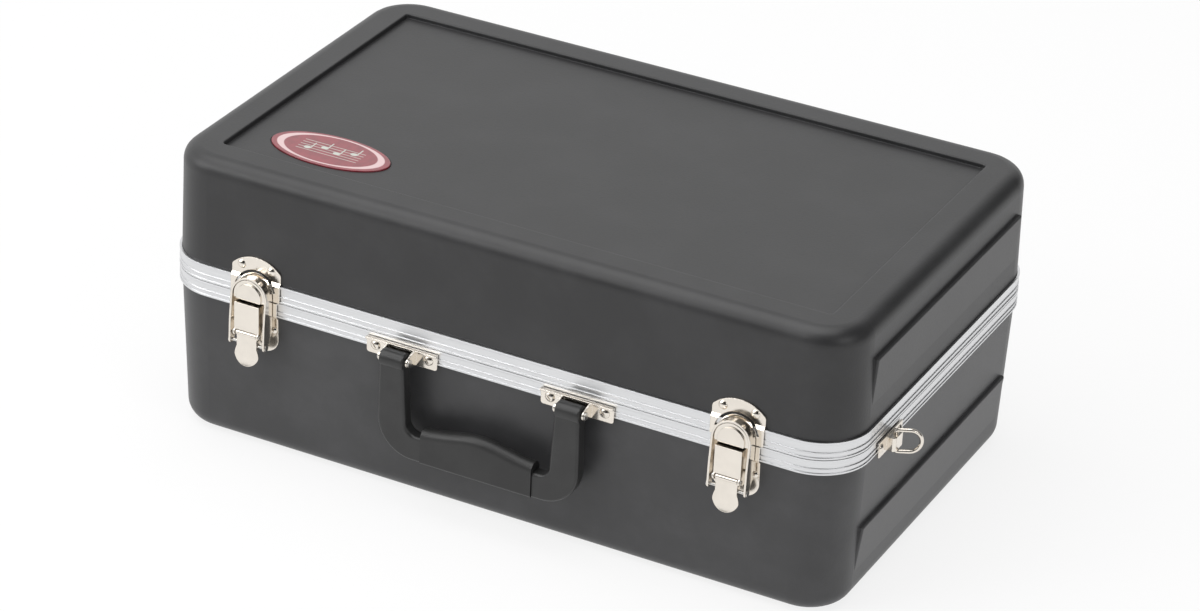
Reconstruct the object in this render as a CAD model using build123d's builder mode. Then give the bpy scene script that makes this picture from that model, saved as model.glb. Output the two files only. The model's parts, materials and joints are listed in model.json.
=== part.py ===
"""Cornet case: two moulded shells in aluminium valances, with latches, handle, strap rings and hinges.

Millimetres. +Z is up and the front, with the latches and the handle, faces -Y.
The origin is the centre of the bottom face. Depth is counted outward from the valances' outer face,
and the hardware's heights are counted from the seam between base and lid.
"""
import os
from math import asin, cos, degrees, radians, sin

from build123d import *

os.makedirs("parts", exist_ok=True)

# Shells
case_length = 460.0
case_width = 278.0
base_height = 106.8
lid_height = 80.5
corner_radius = 33.0
wall = 3.0
base_draft = 0.035
lid_draft = 0.020
bottom_round = 12.0
top_round = 10.7

# Valances
seam_gap = 0.4
base_band = 9.9
lid_band = 11.3
band_thickness = 1.5
band_relief = 0.5
web_thickness = 1.2
leg_thickness = 1.0
leg_height = 1.2
tongue_thickness = 1.2
tongue_height = 4.0
tongue_gap = 0.5
base_seam_rib = 1.6
base_middle_rib_start = 5.7
base_middle_rib_end = 6.5
base_edge_rib = 8.8
lid_seam_rib = 1.4
lid_middle_rib_start = 4.0
lid_middle_rib_end = 4.8
lid_edge_rib = 9.8

# Sunk panel of the lid, and the badge in it
panel_margin = 28.0
panel_depth = 3.0
panel_radius = 2.5
panel_lip = 1.0
badge_length = 80.0
badge_width = 39.0
badge_thickness = 1.4
badge_sink = 0.6
badge_gap = 0.5
badge_round = 0.45
badge_from_left = 58.0
badge_from_front = 29.5

# Bumper pads on the ends and the rear
pad_rise = 2.8
pad_round = 1.2
pad_height = 31.5
pad_above_bottom = 20.0
pad_below_top = 24.0
pad_corner_gap = 1.0

# Foam insert and lid cushion
soft_gap = 0.3
insert_gap = 2.0
insert_below_seam = 3.0
insert_margin = 12.0
pocket_corner = 4.0
block_gap = 0.2
bell_length = 60.0
bell_half = 66.0
bell_floor = 16.0
valve_half = 52.0
valve_floor = 42.0
pipe_length = 100.0
pipe_half = 21.0
pipe_floor = 58.0
pocket_overlap = 20.0
well_width = 52.0
well_length = 186.0
well_floor = 26.0
mouthpiece_radius = 15.0
mouthpiece_depth = 62.0
mouthpiece_pitch = 42.0
mouthpiece_first = 30.0
mouthpiece_count = 2
cushion_thickness = 13.0
cushion_margin = 4.0
cushion_radius = 18.0
cushion_round = 6.0

# Rivets and screws
shank = 1.5
hole_gap = 0.05
spare = 1.0
rivet_head = 2.9
rivet_rise = 1.5
screw_head = 3.4
screw_rise = 1.6
small_head = 2.2
small_rise = 1.2
tail_lip = 0.7
tail_rise = 0.8
band_rivet_z = -7.8
slot_width = 0.9
slot_depth = 0.7
slot_turn = 35

# Latches
latch_from_end = 69.0
plate = 1.0
fold = 1.8
fold_drop = 0.3
plate_from_seam = 0.4
keeper_half = 17.0
keeper_shoulder = 18.4
keeper_apex = 25.8
keeper_corner = 3.0
keeper_rivet_x = 10.3
keeper_rivet_z = 19.3
arch_z = 3.0
bail_half = 12.45
bail_strip = 1.2
bail_play = 0.35
hook_depth = 7.6
hook_low = 0.8
hook_face_step = 2.3
hook_face_rise = 1.0
hook_wall = 1.3
window_width = 1.7
window_low = 6.0
latch_plate_half = 15.2
latch_plate_low = -36.0
latch_plate_radius = 10.0
latch_rivet_x = 12.4
latch_rivet_z = -20.0
housing_half = 8.6
housing_depth = 10.6
housing_top = -0.8
housing_low = -19.0
cheek_low = -24.5
ear_radius = 2.2
running_gap = 0.05
lever_pin_depth = 10.0
lever_pin_z = -21.0
lever_pin_radius = 0.8
lever_pin_head = 1.4
lever_set_back = 0.6
lever_half = 6.9
lever_neck_z = -24.0
lever_waist = 6.5
lever_tip_half = 8.3
lever_tip_z = -36.0
lever_low = -42.3
lever_roll = 1.6
lever_curl = 1.5
lever_curl_drop = 0.2
lever_bend_z = -33.0
lug_height = 6.0
lug_depth = 4.1
bail_pin_depth = 8.5
bail_pin_z = -28.0
bail_pin_radius = 1.0
bail_eye = 2.4
bail_back = 1.6
bail_front = 7.2
bail_heel_z = -20.0
bail_knee_z = -14.0
bail_knee_in = 0.5
pin_head = 1.8
pin_head_rise = 0.6

# Handle
handle_spacing = 117.6
handle_plate_length = 48.0
handle_plate = 1.2
handle_flange = 3.0
handle_screw_x = 18.0
ear_thickness = 1.2
ear_play = 0.6
handle_ear_radius = 3.0
handle_pin_depth = 9.8
handle_pin_z = -8.0
handle_pin_radius = 1.5
handle_pin_head = 2.3
handle_pin_rise = 0.8
arm_half = 8.0
arm_thickness = 9.0
arm_round = 2.0
arm_roll = 5.5
arm_roll_round = 1.0
arm_splay = 0.7
arm_shoulder = 9.5
arm_shoulder_run = 2.5
arm_shoulder_rise = 7.0
frame_shoulder = -54.0
handle_low = -70.8
handle_corner = 24.0
grip_half = 37.5
grip_thickness = 11.0
grip_crown = -43.0
grip_shoulder = -48.5
grip_round = 5.3
core_height = 8.0
core_thickness = 5.0
core_z = -62.0
core_gap = 0.1

# Plates that carry the handle and the rings
bracket_top = -3.0
bracket_height = 10.4
bracket_round = 1.8

# Strap rings
ring_from_front = 60.0
ring_z = -8.0
ring_wire = 1.2
ring_depth = 3.8
ring_half = 7.1
ring_run = 8.3
ring_corner = 1.8
ring_rest_angle = 26.4
ring_play = 0.1
strap_plate_length = 33.0
strap_rivet_x = 13.0
bridge_half = 4.4
bridge_half_width = 6.0
bridge_depth = 6.5
bridge_round = 1.8

# Stop hinges at the rear
hinge_from_end = 80.0
hinge_width = 40.0
leaf = 1.2
leaf_gap = 3.0
knuckles = 5
knuckle_radius = 3.0
knuckle_gap = 0.3
hinge_clearance = 0.2
hinge_pin_radius = 1.5
hinge_pin_head = 2.4
hinge_pin_rise = 0.8
hinge_rivet_x = 14.0
hinge_shank = 1.2
hinge_head = 2.0
hinge_rise = 1.0
base_hinge_rivet_z = -7.2
lid_hinge_rivet_z = 9.3
lid_opening = 105.0
stop_reach = 6.0
stop_thickness = 1.2
stop_gap = 0.1

# Values that follow from these
seam = base_height
case_height = base_height + lid_height
half_length = case_length / 2
half_width = case_width / 2
half_gap = seam_gap / 2
base_rim = seam - half_gap - web_thickness
lid_web_low = seam + half_gap + tongue_height + tongue_gap
lid_rim = lid_web_low + web_thickness
panel_floor = case_height - panel_depth
panel_length = case_length - 2 * panel_margin
panel_width = case_width - 2 * panel_margin
badge_x = badge_from_left - panel_length / 2
badge_y = badge_from_front - panel_width / 2
latch_x = half_length - latch_from_end
handle_x = handle_spacing / 2
hinge_x = half_length - hinge_from_end
hinge_depth = knuckle_radius + hinge_clearance
ring_y = ring_from_front - half_width
sides = (("left", -1), ("right", 1))

up = Vector(0, 0, 1)
front = Vector(0, -1, 0)
rear = Vector(0, 1, 0)
ends = {"left": Vector(-1, 0, 0), "right": Vector(1, 0, 0)}


def save(part, name):
    """Label a finished piece and write its STEP file."""
    part.label = name
    export_step(part, f"parts/{name}.step")


def side_point(out, at, z):
    """The point of one side's outer face at a place along the side and a height."""
    if out.X:
        return out * half_length + Vector(0, at, z)
    return out * half_width + Vector(at, 0, z)


def side_plane(out, at, z=seam, depth=0.0, lean=0.0):
    """A plane that faces out of one side, with local y up and local x to the right from outside."""
    return Plane(origin=side_point(out, at, z) + out * depth, x_dir=up.cross(out), z_dir=out + up * lean)


def section_plane(out, at, z=seam):
    """A plane across one side: local x runs outward and local y up."""
    return Plane(origin=side_point(out, at, z), x_dir=out, z_dir=out.cross(up))


def base_inset(z):
    """How far the base's outer wall lies inside the valances' outer face at a height."""
    return band_thickness + base_draft * (base_rim - z)


def lid_inset(z):
    """The same for the lid's outer wall."""
    return band_thickness + lid_draft * (z - lid_rim)


def base_wall(out, at, z):
    """A plane on the base's drafted wall."""
    return side_plane(out, at, z, -base_inset(z), -base_draft)


def lid_wall(out, at, z):
    """A plane on the lid's drafted wall."""
    return side_plane(out, at, z, -lid_inset(z), lid_draft)


def outline(inset, mode=Mode.ADD):
    """The case's rounded outline, drawn in by an inset."""
    RectangleRounded(case_length - 2 * inset, case_width - 2 * inset, corner_radius - inset, mode=mode)


def drafted_block(low, high, inset_at, offset=0.0):
    """A block between two heights whose sides follow a drafted wall, moved in by an offset."""
    with BuildPart() as block:
        for z in (low, high):
            with BuildSketch(Plane.XY.offset(z)):
                outline(inset_at(z) + offset)
        loft(ruled=True)
    return block.part


def ring_slice(low, high, outer_inset, inner_inset):
    """A closed band between two heights and two insets."""
    with BuildPart() as band:
        with BuildSketch(Plane.XY.offset(low)):
            outline(outer_inset)
            outline(inner_inset, mode=Mode.SUBTRACT)
        extrude(amount=high - low)
    return band.part


def bumper_pads(low, high, inset_at):
    """Wedges that rise from the walls of the ends and the rear and end in a step at their top."""
    pads = []
    straight = corner_radius + pad_corner_gap
    for out, half in ((ends["left"], half_width), (ends["right"], half_width), (rear, half_length)):
        with BuildPart() as pad:
            with BuildSketch(section_plane(out, 0, 0)):
                with BuildLine():
                    Polyline(
                        (-inset_at(low) - wall / 2, low),
                        (-inset_at(low) - hole_gap, low),
                        (-inset_at(high) + pad_rise, high),
                        (-inset_at(high) - wall / 2, high),
                        close=True,
                    )
                make_face()
            extrude(amount=half - straight, both=True)
            face = pad.faces().sort_by(lambda item: item.normal_at().dot(out))[-1]
            fillet(face.edges().sort_by(Axis.Z)[1:], radius=pad_round)
        pads.append(pad.part)
    return pads


def holes(place, xs, z, radius=shank + hole_gap, reach=12.0):
    """Round cutters in a row along a side, run both ways from a plane."""
    with BuildPart() as cutters:
        with BuildSketch(place):
            with Locations(*[(x, z) for x in xs]):
                Circle(radius)
        extrude(amount=reach, both=True)
    return cutters.part


def rivet(place, grip, head=rivet_head, rise=rivet_rise, body=shank):
    """A dome-head rivet: its head sits on the plane and its tail is drawn up behind the grip."""
    tail = body + tail_lip
    with BuildPart() as fastener:
        with BuildSketch(Plane(origin=place.origin, x_dir=place.x_dir, z_dir=-place.y_dir)):
            with BuildLine():
                TangentArc((0, rise), (head, 0), tangent=(1, 0))
                Polyline(
                    (head, 0),
                    (body, 0),
                    (body, -grip),
                    (tail, -grip),
                    (tail, -grip - tail_rise),
                    (0, -grip - tail_rise),
                    (0, rise),
                )
            make_face()
        revolve(axis=Axis(place.origin, place.z_dir))
    return fastener.part


def cross_pin(section, centre, radius, half, head, rise):
    """A pin along a side with a flat head at each end."""
    with BuildPart() as pin:
        with BuildSketch(section):
            with Locations(centre):
                Circle(radius)
        extrude(amount=half, both=True)
        for turn in (-1, 1):
            with BuildSketch(section.offset(turn * half)):
                with Locations(centre):
                    Circle(head)
            extrude(amount=turn * rise)
    return pin.part


def group(pieces):
    """Separate like pieces as one group of solids."""
    with BuildPart() as together:
        for piece in pieces:
            add(piece)
    return together.part


# Where rivets and screws stand along each plate
latch_rivets_x = (-latch_rivet_x, latch_rivet_x)
keeper_rivets_x = (-keeper_rivet_x, keeper_rivet_x)
handle_screws_x = (-handle_screw_x, handle_screw_x)
strap_rivets_x = (-strap_rivet_x, strap_rivet_x)
hinge_rivets_x = (-hinge_rivet_x, 0, hinge_rivet_x)
hinge_hole = hinge_shank + hole_gap


def band_holes(turn, side):
    """The holes that the base's wall and its valance share on one half of the case."""
    return (
        holes(side_plane(front, turn * handle_x), handle_screws_x, band_rivet_z),
        holes(side_plane(ends[side], ring_y), strap_rivets_x, band_rivet_z),
        holes(side_plane(rear, turn * hinge_x), hinge_rivets_x, base_hinge_rivet_z, hinge_hole),
    )


def lid_hinge_holes(turn):
    """The holes that the lid's wall and its valance share at one hinge."""
    return holes(side_plane(rear, turn * hinge_x), hinge_rivets_x, lid_hinge_rivet_z, hinge_hole)


# Base shell
with BuildPart() as base_cavity:
    add(drafted_block(wall, base_rim + spare, base_inset, wall))
    fillet(base_cavity.faces().sort_by(Axis.Z)[0].edges(), radius=bottom_round - wall)

with BuildPart() as base_shell:
    add(drafted_block(0, base_rim, base_inset))
    fillet(base_shell.faces().sort_by(Axis.Z)[0].edges(), radius=bottom_round)
    add(base_cavity.part, mode=Mode.SUBTRACT)
    for pad in bumper_pads(pad_above_bottom, pad_above_bottom + pad_height, base_inset):
        add(pad)
    for side, turn in sides:
        latch_place = base_wall(front, turn * latch_x, seam + latch_rivet_z)
        add(holes(latch_place, latch_rivets_x, 0), mode=Mode.SUBTRACT)
        for cutters in band_holes(turn, side):
            add(cutters, mode=Mode.SUBTRACT)
save(base_shell.part, "base_shell")

# Lid shell
with BuildPart() as lid_cavity:
    add(drafted_block(lid_rim - spare, case_height - wall, lid_inset, wall))
    fillet(lid_cavity.faces().sort_by(Axis.Z)[-1].edges(), radius=top_round - wall)

lid_pad_high = case_height - pad_below_top
with BuildPart() as lid_shell:
    add(drafted_block(lid_rim, case_height, lid_inset))
    fillet(lid_shell.faces().sort_by(Axis.Z)[-1].edges(), radius=top_round)
    add(lid_cavity.part, mode=Mode.SUBTRACT)
    with BuildSketch(Plane.XY.offset(panel_floor - wall)):
        RectangleRounded(panel_length + 2 * wall, panel_width + 2 * wall, panel_radius + wall)
    extrude(amount=wall + panel_depth / 2)
    with BuildSketch(Plane.XY.offset(panel_floor)):
        RectangleRounded(panel_length, panel_width, panel_radius)
    extrude(amount=panel_depth, mode=Mode.SUBTRACT)
    panel_rim = lid_shell.faces().sort_by(Axis.Z)[-1].inner_wires()[0]
    fillet(panel_rim.edges(), radius=panel_lip)
    with BuildSketch(Plane.XY.offset(panel_floor)):
        with Locations((badge_x, badge_y)):
            Ellipse(badge_length / 2 + badge_gap, badge_width / 2 + badge_gap)
    extrude(amount=-badge_sink, mode=Mode.SUBTRACT)
    for pad in bumper_pads(lid_pad_high - pad_height, lid_pad_high, lid_inset):
        add(pad)
    for side, turn in sides:
        keeper_place = lid_wall(front, turn * latch_x, seam + keeper_rivet_z)
        add(holes(keeper_place, keeper_rivets_x, 0), mode=Mode.SUBTRACT)
        add(lid_hinge_holes(turn), mode=Mode.SUBTRACT)
save(lid_shell.part, "lid_shell")

# Badge
with BuildPart() as badge:
    with BuildSketch(Plane.XY.offset(panel_floor - badge_sink)):
        with Locations((badge_x, badge_y)):
            Ellipse(badge_length / 2, badge_width / 2)
    extrude(amount=badge_thickness)
    fillet(badge.faces().sort_by(Axis.Z)[-1].edges(), radius=badge_round)
save(badge.part, "badge")

# Valances: each stretch of a ribbed outer band runs between two distances from the seam
base_ribs = (
    (half_gap, base_seam_rib, 0),
    (base_seam_rib, base_middle_rib_start, band_relief),
    (base_middle_rib_start, base_middle_rib_end, 0),
    (base_middle_rib_end, base_edge_rib, band_relief),
    (base_edge_rib, base_band, 0),
)
lid_ribs = (
    (half_gap, lid_seam_rib, 0),
    (lid_seam_rib, lid_middle_rib_start, band_relief),
    (lid_middle_rib_start, lid_middle_rib_end, 0),
    (lid_middle_rib_end, lid_edge_rib, band_relief),
    (lid_edge_rib, lid_band, 0),
)
base_leg = base_inset(base_rim - leg_height) + wall
lid_leg = lid_inset(lid_rim + leg_height) + wall

with BuildPart() as base_valance:
    for start, end, sunk in base_ribs:
        add(ring_slice(seam - end, seam - start, sunk, band_thickness))
    add(ring_slice(base_rim, base_rim + web_thickness, band_relief, base_leg + leg_thickness))
    add(ring_slice(base_rim - leg_height, base_rim, base_leg, base_leg + leg_thickness))
    tongue_inset = band_thickness + tongue_gap
    tongue_low = base_rim + web_thickness / 2
    tongue_high = seam + half_gap + tongue_height
    add(ring_slice(tongue_low, tongue_high, tongue_inset, tongue_inset + tongue_thickness))
    for side, turn in sides:
        for cutters in band_holes(turn, side):
            add(cutters, mode=Mode.SUBTRACT)
save(base_valance.part, "base_valance")

with BuildPart() as lid_valance:
    for start, end, sunk in lid_ribs:
        add(ring_slice(seam + start, seam + end, sunk, band_thickness))
    add(ring_slice(lid_web_low, lid_rim, band_relief, lid_leg + leg_thickness))
    add(ring_slice(lid_rim, lid_rim + leg_height, lid_leg, lid_leg + leg_thickness))
    for side, turn in sides:
        add(lid_hinge_holes(turn), mode=Mode.SUBTRACT)
save(lid_valance.part, "lid_valance")

# Foam insert in three blocks: bell, valve and pipe pockets along the rear, and wells in front
insert_floor = wall + soft_gap
insert_top = seam - insert_below_seam
insert_inset = base_inset(insert_floor) + wall + insert_gap
pocket_right = half_length - insert_inset - insert_margin
pocket_rear = half_width - insert_inset - insert_margin
well_rear = well_width - pocket_rear
well_right = well_length - pocket_right
horn_y = (well_rear + insert_margin + pocket_rear) / 2
mouthpieces_x = [well_right + mouthpiece_first + mouthpiece_pitch * k for k in range(mouthpiece_count)]
small_well_left = mouthpieces_x[-1] + mouthpiece_first
bell_right = bell_length - pocket_right
pipe_left = pocket_right - pipe_length
pockets = (
    (-pocket_right, bell_right, horn_y - bell_half, horn_y + bell_half, bell_floor),
    (bell_right - pocket_overlap, pipe_left, horn_y - valve_half, horn_y + valve_half, valve_floor),
    (pipe_left - pocket_overlap, pocket_right, horn_y - pipe_half, horn_y + pipe_half, pipe_floor),
    (-pocket_right, well_right, -pocket_rear, well_rear, well_floor),
    (small_well_left, pocket_right, -pocket_rear, well_rear, well_floor),
)
block_front = (well_rear + horn_y - bell_half) / 2
block_split = (well_right + mouthpieces_x[0] - mouthpiece_radius) / 2
insert_blocks = (
    ("horn_block", -half_length, half_length, block_front, half_width),
    ("long_well_block", -half_length, block_split, -half_width, block_front - block_gap),
    ("small_parts_block", block_split + block_gap, half_length, -half_width, block_front - block_gap),
)

with BuildPart() as insert_form:
    add(drafted_block(insert_floor, insert_top, base_inset, wall + insert_gap))
    fillet(insert_form.faces().sort_by(Axis.Z)[0].edges(), radius=bottom_round - wall)
    for x_low, x_high, y_low, y_high, floor in pockets:
        with BuildSketch(Plane.XY.offset(insert_top)):
            with Locations(((x_low + x_high) / 2, (y_low + y_high) / 2)):
                RectangleRounded(x_high - x_low, y_high - y_low, pocket_corner)
        extrude(amount=floor - insert_top, mode=Mode.SUBTRACT)
    with BuildSketch(Plane.XY.offset(insert_top)):
        with Locations(*[(x, (well_rear - pocket_rear) / 2) for x in mouthpieces_x]):
            Circle(mouthpiece_radius)
    extrude(amount=-mouthpiece_depth, mode=Mode.SUBTRACT)

for name, x_low, x_high, y_low, y_high in insert_blocks:
    with BuildPart() as block:
        add(insert_form.part)
        with BuildSketch():
            with Locations(((x_low + x_high) / 2, (y_low + y_high) / 2)):
                Rectangle(x_high - x_low, y_high - y_low)
        extrude(amount=seam, mode=Mode.INTERSECT)
    save(block.part, name)

# Padded lining under the sunk panel
with BuildPart() as lid_cushion:
    with BuildSketch(Plane.XY.offset(panel_floor - wall - soft_gap)):
        cushion_length = panel_length - 2 * cushion_margin
        cushion_width = panel_width - 2 * cushion_margin
        RectangleRounded(cushion_length, cushion_width, cushion_radius)
    extrude(amount=-cushion_thickness)
    fillet(lid_cushion.faces().sort_by(Axis.Z)[0].edges(), radius=cushion_round)
save(lid_cushion.part, "lid_cushion")


def stepped_plate(x, way, half, band, wall_place, inset):
    """A latch plate on a valance, with a slanted fold over its edge to the wall; way is 1 for the lid."""
    fold_start = way * (band - fold_drop)
    past_fold = way * (band + fold + spare)
    lean_past = spare * inset / (fold + fold_drop)
    with BuildPart() as stepped:
        with BuildSketch(side_plane(front, x)):
            with Locations((0, way * (plate_from_seam + band + fold) / 2)):
                Rectangle(2 * half, band + fold - plate_from_seam)
        extrude(amount=plate)
        with BuildSketch(wall_place):
            with Locations((0, way * (hole_gap + fold) / 2)):
                Rectangle(2 * half, fold - hole_gap)
        extrude(amount=inset + plate / 2)
        with BuildSketch(section_plane(front, x)):
            Polygon(
                (plate, fold_start),
                (plate + spare, fold_start),
                (plate + spare, past_fold),
                (plate - inset - lean_past, past_fold),
                align=None,
            )
        extrude(amount=2 * half, both=True, mode=Mode.SUBTRACT)
    return stepped.part


def keeper_at(x):
    """The lid's latch plate, with the hook that the bail pulls down."""
    wall_place = lid_wall(front, x, seam + lid_band)
    shoulder = keeper_shoulder - lid_band
    hook_radius = bail_half - bail_strip - bail_play
    root_radius = bail_half + bail_play
    with BuildPart() as keeper:
        add(stepped_plate(x, 1, keeper_half, lid_band, wall_place, lid_inset(seam + lid_band)))
        with BuildSketch(wall_place) as upper:
            with BuildLine():
                Polyline(
                    (-keeper_half, shoulder),
                    (-keeper_half, hole_gap),
                    (keeper_half, hole_gap),
                    (keeper_half, shoulder),
                )
                ThreePointArc(
                    (keeper_half, shoulder), (0, keeper_apex - lid_band), (-keeper_half, shoulder)
                )
            make_face()
            fillet(upper.vertices().group_by(Axis.Y)[-1], radius=keeper_corner)
        extrude(amount=plate)
        with BuildSketch(side_plane(front, x)):
            with Locations((0, arch_z)):
                Circle(root_radius + window_width)
                Circle(root_radius, mode=Mode.SUBTRACT)
            with Locations((0, window_low)):
                Rectangle(
                    4 * keeper_half, 4 * keeper_half, align=(Align.CENTER, Align.MAX), mode=Mode.SUBTRACT
                )
        extrude(amount=3 * plate, both=True, mode=Mode.SUBTRACT)
        dome = ((hook_radius, hook_depth), (hook_radius - hook_face_step, hook_depth + hook_face_rise))
        for radius, depth in dome:
            with BuildSketch(side_plane(front, x, depth=plate / 2)):
                with Locations((0, arch_z)):
                    Circle(radius)
                with Locations((0, hook_low)):
                    Rectangle(4 * radius, 4 * radius, align=(Align.CENTER, Align.MAX), mode=Mode.SUBTRACT)
            extrude(amount=depth - plate / 2)
        with BuildSketch(side_plane(front, x, depth=plate)):
            with Locations((0, arch_z)):
                Circle(hook_radius - hook_wall)
        extrude(amount=hook_depth - plate - hook_wall, mode=Mode.SUBTRACT)
        rivet_place = lid_wall(front, x, seam + keeper_rivet_z)
        add(holes(rivet_place, keeper_rivets_x, 0, reach=3 * plate), mode=Mode.SUBTRACT)
    return keeper.part


def latch_body_at(x):
    """The base's latch plate, with the raised housing and the ears that hold the lever's pin."""
    wall_place = base_wall(front, x, seam - base_band)
    section = section_plane(front, x)
    pin_place = (lever_pin_depth, lever_pin_z)
    with BuildPart() as body:
        add(stepped_plate(x, -1, latch_plate_half, base_band, wall_place, base_inset(seam - base_band)))
        with BuildSketch(wall_place) as lower:
            with Locations((0, -hole_gap)):
                drop = -latch_plate_low - base_band - hole_gap
                Rectangle(2 * latch_plate_half, drop, align=(Align.CENTER, Align.MAX))
            fillet(lower.vertices().group_by(Axis.Y)[0], radius=latch_plate_radius)
        extrude(amount=plate)
        with BuildSketch(section):
            Polygon(
                (plate / 2, housing_top),
                (housing_depth, housing_top),
                (housing_depth, lever_pin_z),
                (lever_pin_depth - ear_radius, cheek_low),
                (plate / 2, cheek_low),
                align=None,
            )
            with Locations(pin_place):
                Circle(ear_radius)
        extrude(amount=housing_half, both=True)
        with BuildSketch(section):
            with Locations((plate, housing_top - plate)):
                inner_drop = housing_top - plate - cheek_low + spare
                Rectangle(housing_depth - 2 * plate, inner_drop, align=(Align.MIN, Align.MAX))
            with Locations((plate, housing_low)):
                Rectangle(2 * housing_depth, housing_low - cheek_low + spare, align=(Align.MIN, Align.MAX))
        extrude(amount=housing_half - plate, both=True, mode=Mode.SUBTRACT)
        with BuildSketch(section):
            with Locations(pin_place):
                Circle(lever_pin_radius + running_gap)
        extrude(amount=2 * housing_half, both=True, mode=Mode.SUBTRACT)
        rivet_place = base_wall(front, x, seam + latch_rivet_z)
        add(holes(rivet_place, latch_rivets_x, 0, reach=3 * plate), mode=Mode.SUBTRACT)
    return body.part


def latch_lever_at(x):
    """The tongue that a finger lifts, rolled round its pin at the top, with two lugs for the bail's pin."""
    section = section_plane(front, x)
    back = lever_pin_depth - lever_set_back
    face = back + plate
    curl_back = (back + lever_curl, lever_low - lever_curl_drop)
    curl_face = (face + lever_curl, lever_low)
    neck = (lever_half, lever_neck_z)
    waist = (lever_waist, bail_pin_z)
    tip = (lever_tip_half, lever_tip_z)
    with BuildPart() as lever:
        with BuildSketch(section):
            with BuildLine():
                Polyline(
                    (back, lever_bend_z), (back, lever_pin_z), (face, lever_pin_z), (face, lever_bend_z)
                )
                TangentArc((face, lever_bend_z), curl_face, tangent=(0, -1))
                Line(curl_face, curl_back)
                TangentArc((back, lever_bend_z), curl_back, tangent=(0, -1))
            make_face()
        extrude(amount=2 * lever_half, both=True)
        with BuildSketch(side_plane(front, x)):
            with BuildLine():
                Polyline(
                    (-neck[0], neck[1]), (-lever_half, lever_pin_z), (lever_half, lever_pin_z), neck
                )
                Spline(neck, waist, tip, tangents=((0, -1), (0, -1)))
                ThreePointArc(tip, (0, lever_low), (-tip[0], tip[1]))
                Spline(
                    (-tip[0], tip[1]), (-waist[0], waist[1]), (-neck[0], neck[1]),
                    tangents=((0, 1), (0, 1)),
                )
            make_face()
        extrude(amount=2 * housing_depth, mode=Mode.INTERSECT)
        with BuildSketch(section):
            with Locations((lever_pin_depth, lever_pin_z)):
                Circle(lever_roll)
        extrude(amount=lever_half, both=True)
        for turn in (-1, 1):
            with BuildSketch(section.offset(turn * (lever_half - plate))):
                with Locations((face, bail_pin_z)):
                    Rectangle(lug_depth, lug_height, align=(Align.MAX, Align.CENTER))
            extrude(amount=turn * plate)
        bores = (
            ((lever_pin_depth, lever_pin_z), lever_pin_radius),
            ((bail_pin_depth, bail_pin_z), bail_pin_radius),
        )
        for place, radius in bores:
            with BuildSketch(section):
                with Locations(place):
                    Circle(radius + running_gap)
            extrude(amount=2 * lever_half, both=True, mode=Mode.SUBTRACT)
    return lever.part


def bail_at(x):
    """The deep strip bent to an arch that hooks over the keeper."""
    section = section_plane(front, x)
    top = arch_z + bail_half + spare
    toe = (bail_pin_depth - bail_eye, bail_pin_z)
    brow = (bail_pin_depth + bail_eye, bail_pin_z)
    with BuildPart() as bail:
        with BuildSketch(side_plane(front, x)):
            for radius, mode in ((bail_half, Mode.ADD), (bail_half - bail_strip, Mode.SUBTRACT)):
                with Locations((0, arch_z)):
                    Circle(radius, mode=mode)
                    Rectangle(2 * radius, 3 * bail_half, align=(Align.CENTER, Align.MAX), mode=mode)
        extrude(amount=2 * housing_depth)
        with BuildSketch(section):
            with BuildLine():
                Polyline(
                    toe,
                    (bail_back, bail_heel_z),
                    (bail_back, top),
                    (bail_front, top),
                    (bail_pin_depth + bail_eye - bail_knee_in, bail_knee_z),
                    brow,
                )
                ThreePointArc(brow, (bail_pin_depth, bail_pin_z - bail_eye), toe)
            make_face()
        extrude(amount=2 * bail_half, both=True, mode=Mode.INTERSECT)
        with BuildSketch(section):
            with Locations((bail_pin_depth, bail_pin_z)):
                Circle(bail_pin_radius + running_gap)
        extrude(amount=2 * bail_half, both=True, mode=Mode.SUBTRACT)
    return bail.part


# Latches
for side, turn in sides:
    x = turn * latch_x
    section = section_plane(front, x)
    save(keeper_at(x), f"{side}_keeper")
    save(latch_body_at(x), f"{side}_latch_body")
    save(latch_lever_at(x), f"{side}_latch_lever")
    save(bail_at(x), f"{side}_bail")
    lever_pin = cross_pin(
        section, (lever_pin_depth, lever_pin_z), lever_pin_radius,
        housing_half + running_gap, lever_pin_head, pin_head_rise,
    )
    save(lever_pin, f"{side}_lever_pin")
    bail_pin = cross_pin(
        section, (bail_pin_depth, bail_pin_z), bail_pin_radius,
        bail_half + running_gap, pin_head, pin_head_rise,
    )
    save(bail_pin, f"{side}_bail_pin")

latch_rivet_places = [
    base_wall(front, turn * latch_x + x, seam + latch_rivet_z).offset(plate)
    for _, turn in sides
    for x in latch_rivets_x
]
latch_rivets = [rivet(place, plate + wall, small_head, small_rise) for place in latch_rivet_places]
save(group(latch_rivets), "latch_rivets")

keeper_rivet_places = [
    lid_wall(front, turn * latch_x + x, seam + keeper_rivet_z).offset(plate)
    for _, turn in sides
    for x in keeper_rivets_x
]
save(group([rivet(place, plate + wall) for place in keeper_rivet_places]), "keeper_rivets")


def band_grip(z, thickness):
    """How far a rivet reaches from a plate on the base's band to the inside of the wall."""
    return thickness + base_inset(z - shank - tail_lip) + wall


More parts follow.
